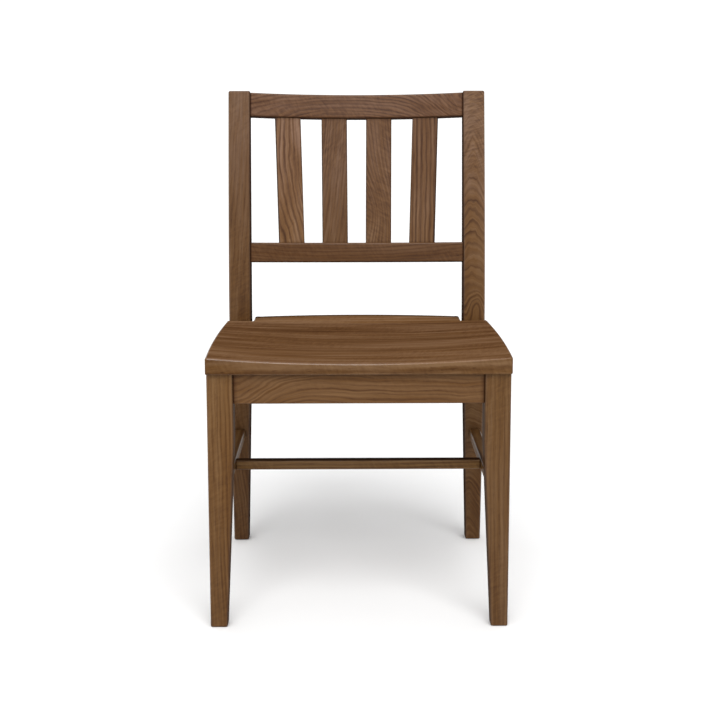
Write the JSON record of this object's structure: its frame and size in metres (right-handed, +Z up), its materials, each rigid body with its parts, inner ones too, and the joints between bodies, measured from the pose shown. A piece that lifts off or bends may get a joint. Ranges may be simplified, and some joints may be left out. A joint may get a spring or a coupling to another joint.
{
  "type": "dining chair",
  "caption": "Wooden slat-back side chair with a hollowed solid seat, tapered square legs, raked rear posts, curved back rails and an H-shaped stretcher frame.",
  "frame": {"origin": "on the floor, in the middle of the rectangle that the chair covers", "axes": "+X across the chair to the right as seen from the front, +Y from the front of the seat to the back, +Z up"},
  "size_m": [0.4952, 0.523, 0.8667],
  "materials": {
    "frame_wood": "walnut-brown stain on open-grained hardwood, satin lacquer, eased edges",
    "seat_wood": "walnut-brown stain on edge-glued hardwood boards, satin lacquer with worn sheen",
    "plain_wood": "unfinished sawn beech, hidden under the seat and in the joints",
    "zinc_steel": "zinc-plated screw steel"
  },
  "bodies": {
    "root": {"back_slat_1": "frame_wood", "back_slat_2": "frame_wood", "back_slat_3": "frame_wood", "back_slat_4": "frame_wood", "corner_block_front_left": "plain_wood", "corner_block_front_right": "plain_wood", "corner_block_rear_left": "plain_wood", "corner_block_rear_right": "plain_wood", "crest_rail": "frame_wood", "cross_stretcher": "frame_wood", "dowel_front_apron_left_high": "plain_wood", "dowel_front_apron_left_low": "plain_wood", "dowel_front_apron_right_high": "plain_wood", "dowel_front_apron_right_low": "plain_wood", "dowel_rear_apron_left_high": "plain_wood", "dowel_rear_apron_left_low": "plain_wood", "dowel_rear_apron_right_high": "plain_wood", "dowel_rear_apron_right_low": "plain_wood", "dowel_side_apron_left_front_high": "plain_wood", "dowel_side_apron_left_front_low": "plain_wood", "dowel_side_apron_left_rear_high": "plain_wood", "dowel_side_apron_left_rear_low": "plain_wood", "dowel_side_apron_right_front_high": "plain_wood", "dowel_side_apron_right_front_low": "plain_wood", "dowel_side_apron_right_rear_high": "plain_wood", "dowel_side_apron_right_rear_low": "plain_wood", "front_apron": "frame_wood", "front_leg_left": "frame_wood", "front_leg_right": "frame_wood", "lower_back_rail": "frame_wood", "rear_apron": "frame_wood", "rear_post_left": "frame_wood", "rear_post_right": "frame_wood", "screw_front_left_cross": "zinc_steel", "screw_front_left_seat": "zinc_steel", "screw_front_left_side": "zinc_steel", "screw_front_right_cross": "zinc_steel", "screw_front_right_seat": "zinc_steel", "screw_front_right_side": "zinc_steel", "screw_rear_left_cross": "zinc_steel", "screw_rear_left_seat": "zinc_steel", "screw_rear_left_side": "zinc_steel", "screw_rear_right_cross": "zinc_steel", "screw_rear_right_seat": "zinc_steel", "screw_rear_right_side": "zinc_steel", "seat": "seat_wood", "side_apron_left": "frame_wood", "side_apron_right": "frame_wood", "side_stretcher_left": "frame_wood", "side_stretcher_right": "frame_wood"}
  },
  "joints": []
}
